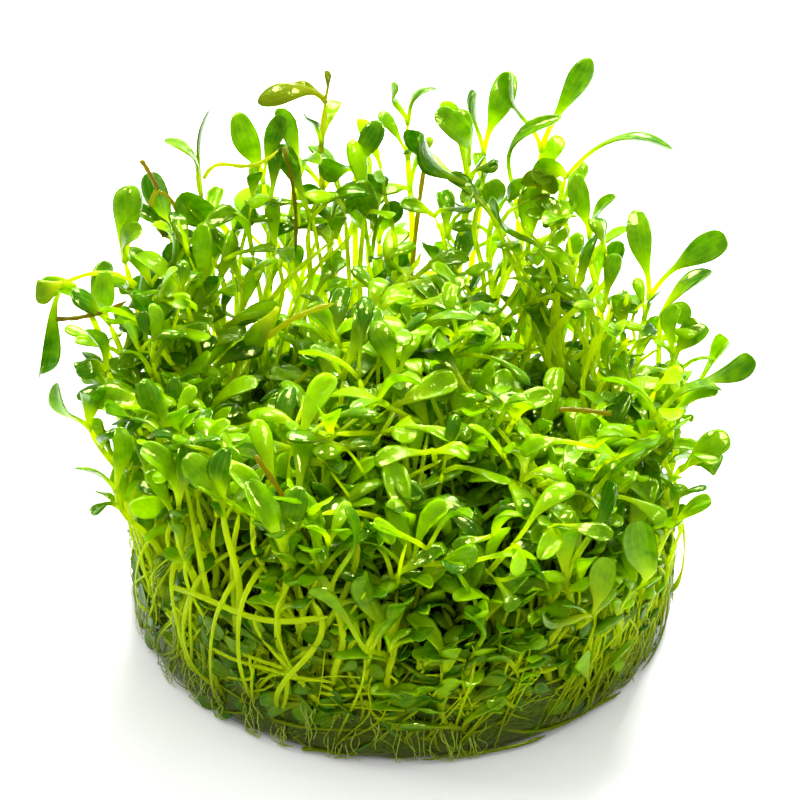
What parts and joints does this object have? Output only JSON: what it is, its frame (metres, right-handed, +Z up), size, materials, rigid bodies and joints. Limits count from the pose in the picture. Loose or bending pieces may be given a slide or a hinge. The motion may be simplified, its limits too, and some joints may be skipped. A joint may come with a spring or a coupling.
{
  "type": "aquarium plant clump",
  "caption": "Round clump of creeping aquarium plantlets with small spoon-shaped leaves, standing on its clear agar pad as it comes out of a culture cup.",
  "frame": {"origin": "centre of the agar pad's flat underside", "axes": "+Z up out of the pad, -Y towards the side that the picture shows, +X to that view's right"},
  "size_m": [0.0726, 0.0623, 0.0461],
  "materials": {
    "agar": "gloss",
    "heart_leaf": "gloss",
    "leaf": "gloss"
  },
  "bodies": {
    "root": {"gel_pad": "agar", "leafy_heart": "heart_leaf", "rim_shoot_01": "leaf", "rim_shoot_02": "leaf", "rim_shoot_03": "leaf", "rim_shoot_04": "leaf", "rim_shoot_05": "leaf", "rim_shoot_06": "leaf", "rim_shoot_07": "leaf", "rim_shoot_08": "leaf", "rim_shoot_09": "leaf", "rim_shoot_10": "leaf", "rim_shoot_11": "leaf", "rim_shoot_12": "leaf", "rim_shoot_13": "leaf", "rim_shoot_14": "leaf", "rim_shoot_15": "leaf", "rim_shoot_16": "leaf", "rim_shoot_17": "leaf", "rim_shoot_18": "leaf", "rim_shoot_19": "leaf", "rim_shoot_20": "leaf", "rim_shoot_21": "leaf", "rim_shoot_22": "leaf", "rim_shoot_23": "leaf", "rim_shoot_24": "leaf", "rim_shoot_25": "leaf", "rim_shoot_26": "leaf", "rim_shoot_27": "leaf", "rim_shoot_28": "leaf", "rim_shoot_29": "leaf", "rim_shoot_30": "leaf", "rim_shoot_31": "leaf", "rim_shoot_32": "leaf", "rim_shoot_33": "leaf", "rim_shoot_34": "leaf", "rim_shoot_35": "leaf", "rim_shoot_36": "leaf", "rim_shoot_37": "leaf", "rim_shoot_38": "leaf", "rim_shoot_39": "leaf", "rim_shoot_40": "leaf", "rim_shoot_41": "leaf"}
  },
  "joints": []
}
